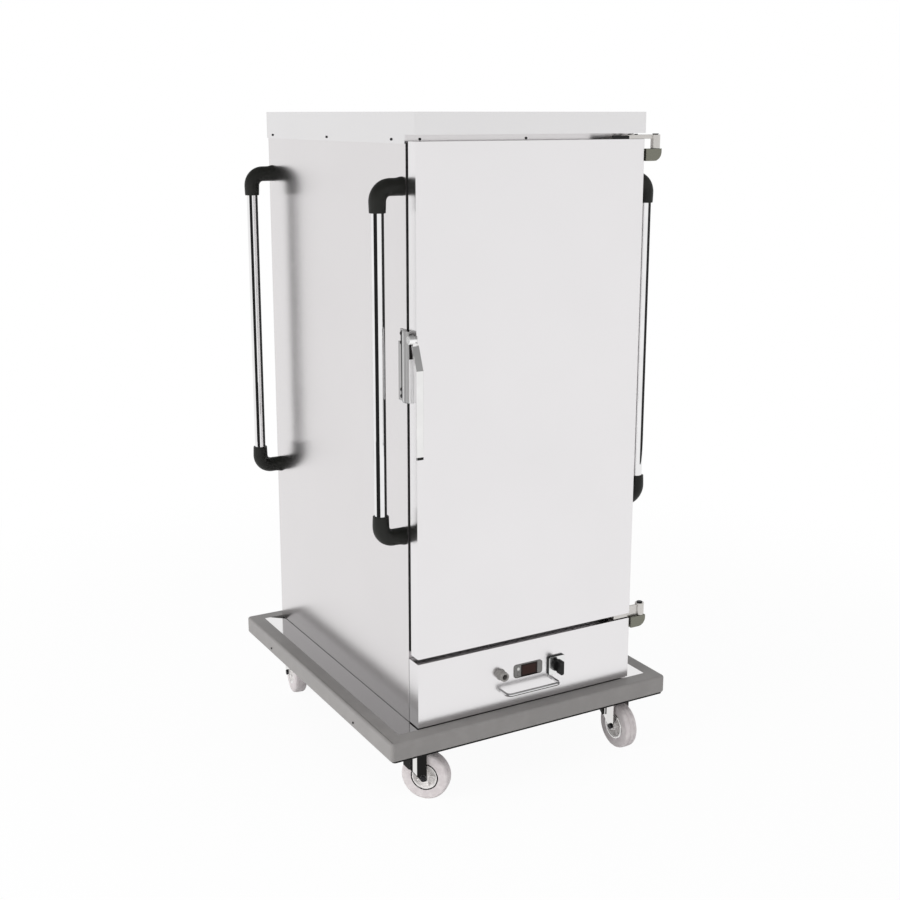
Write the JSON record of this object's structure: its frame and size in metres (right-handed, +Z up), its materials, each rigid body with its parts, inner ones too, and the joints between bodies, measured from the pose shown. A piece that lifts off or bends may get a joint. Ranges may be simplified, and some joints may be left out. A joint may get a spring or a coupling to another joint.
{
  "type": "enclosed meal tray cart",
  "caption": "Tall insulated stainless cabinet cart for meal trays, with a latched swing door, push handles, a heating drawer, a wraparound bumper and swivel castors.",
  "frame": {"origin": "on the floor, under the middle of the cart's bounding box", "axes": "+Z up, the door and the control panel face -Y, +X to the right as seen from the front"},
  "size_m": [0.8376, 0.9622, 1.696],
  "materials": {
    "steel": "satin",
    "liner_steel": "satin",
    "deck_steel": "satin",
    "polished_steel": "polished",
    "hinge_steel": "satin",
    "dark_steel": "satin",
    "zinc": "satin",
    "foam": "matte",
    "bumper_grey": "matte",
    "black_plastic": "satin",
    "gasket_rubber": "matte",
    "grey_plastic": "satin",
    "display": "gloss",
    "rim": "satin",
    "tyre": "matte",
    "element": "satin"
  },
  "bodies": {
    "cart": {"top_cap": "steel", "outer_shell": "steel", "inner_liner": "liner_steel", "insulation": "foam", "front_frame": "steel", "bay_ceiling": "steel", "deck_plate": "deck_steel", "chassis": "deck_steel", "bumper": "bumper_grey", "bumper_screws": "dark_steel", "body_screws": "dark_steel", "handle_tubes": "polished_steel", "handle_elbows": "black_plastic", "hinge_brackets": "hinge_steel", "hinge_pins": "dark_steel", "latch_strike": "steel", "rack_uprights": "liner_steel", "tray_runners": "liner_steel", "castor_plates": "zinc", "castor_bolts": "zinc"},
    "door": {"door_skin": "steel", "door_liner": "liner_steel", "door_core": "foam", "door_gasket": "gasket_rubber", "hinge_arms": "hinge_steel", "hinge_arm_screws": "dark_steel", "latch_housing": "steel", "latch_pin": "dark_steel"},
    "lever": {"latch_lever": "polished_steel"},
    "heater": {"control_panel": "steel", "drawer_tray": "liner_steel", "thermostat_bezel": "grey_plastic", "thermostat_display": "display", "switch_plate": "grey_plastic", "cable_gland": "grey_plastic", "drawer_pull": "polished_steel", "fan_motor": "dark_steel", "heating_element": "element"},
    "key_up": {"key_up": "grey_plastic"},
    "key_down": {"key_down": "grey_plastic"},
    "knob": {"switch_knob": "black_plastic"},
    "fan": {"fan_wheel": "zinc"},
    "castor_fl": {"fork_fl": "zinc", "axle_fl": "dark_steel"},
    "wheel_fl": {"rim_fl": "rim", "tyre_fl": "tyre"},
    "brake_fl": {"brake_fl": "black_plastic"},
    "castor_fr": {"fork_fr": "zinc", "axle_fr": "dark_steel"},
    "wheel_fr": {"rim_fr": "rim", "tyre_fr": "tyre"},
    "brake_fr": {"brake_fr": "black_plastic"},
    "castor_rl": {"fork_rl": "zinc", "axle_rl": "dark_steel"},
    "wheel_rl": {"rim_rl": "rim", "tyre_rl": "tyre"},
    "castor_rr": {"fork_rr": "zinc", "axle_rr": "dark_steel"},
    "wheel_rr": {"rim_rr": "rim", "tyre_rr": "tyre"}
  },
  "joints": [
    {"name": "door_swing", "type": "hinge", "parent": "cart", "child": "door", "pos_m": [0.3575, -0.4332, 1.006], "axis": [0, 0, 1], "range_deg": [0, 220]},
    {"name": "lever_pull", "type": "hinge", "parent": "door", "child": "lever", "pos_m": [-0.328, -0.4392, 1.183], "axis": [-1, 0, 0], "range_deg": [0, 50]},
    {"name": "heater_slide", "type": "slide", "parent": "cart", "child": "heater", "axis": [0, -1, 0], "range_m": [0, 0.35]},
    {"name": "key_up_press", "type": "slide", "parent": "heater", "child": "key_up", "axis": [0, 1, 0], "range_m": [0, 0.0008], "stiffness_N_per_m": 400},
    {"name": "key_down_press", "type": "slide", "parent": "heater", "child": "key_down", "axis": [0, 1, 0], "range_m": [0, 0.0008], "stiffness_N_per_m": 400},
    {"name": "knob_turn", "type": "hinge", "parent": "heater", "child": "knob", "pos_m": [0.0845, -0.4392, 0.2945], "axis": [0, -1, 0], "range_deg": [0, 90]},
    {"name": "fan_spin", "type": "hinge", "parent": "heater", "child": "fan", "pos_m": [0, -0.0192, 0.286], "axis": [0, 0, 1], "continuous": true},
    {"name": "swivel_fl", "type": "hinge", "parent": "cart", "child": "castor_fl", "pos_m": [-0.311, -0.3752, 0.14], "axis": [0, 0, 1], "continuous": true},
    {"name": "roll_fl", "type": "hinge", "parent": "castor_fl", "child": "wheel_fl", "pos_m": [-0.28043, -0.40685, 0.0625], "axis": [0.7193, 0.6947, 0], "continuous": true},
    {"name": "brake_press_fl", "type": "hinge", "parent": "castor_fl", "child": "brake_fl", "pos_m": [-0.28182, -0.40541, 0.129], "axis": [-0.7193, -0.6947, 0], "range_deg": [0, 4]},
    {"name": "swivel_fr", "type": "hinge", "parent": "cart", "child": "castor_fr", "pos_m": [0.311, -0.3752, 0.14], "axis": [0, 0, 1], "continuous": true},
    {"name": "roll_fr", "type": "hinge", "parent": "castor_fr", "child": "wheel_fr", "pos_m": [0.311, -0.4192, 0.0625], "axis": [1, 0, 0], "continuous": true},
    {"name": "brake_press_fr", "type": "hinge", "parent": "castor_fr", "child": "brake_fr", "pos_m": [0.311, -0.4172, 0.129], "axis": [-1, 0, 0], "range_deg": [0, 4]},
    {"name": "swivel_rl", "type": "hinge", "parent": "cart", "child": "castor_rl", "pos_m": [-0.311, 0.3828, 0.14], "axis": [0, 0, 1], "continuous": true},
    {"name": "roll_rl", "type": "hinge", "parent": "castor_rl", "child": "wheel_rl", "pos_m": [-0.31864, 0.33947, 0.0625], "axis": [0.9848, -0.1736, 0], "continuous": true},
    {"name": "swivel_rr", "type": "hinge", "parent": "cart", "child": "castor_rr", "pos_m": [0.311, 0.3828, 0.14], "axis": [0, 0, 1], "continuous": true},
    {"name": "roll_rr", "type": "hinge", "parent": "castor_rr", "child": "wheel_rr", "pos_m": [0.31712, 0.33923, 0.0625], "axis": [0.9903, 0.1392, 0], "continuous": true}
  ]
}
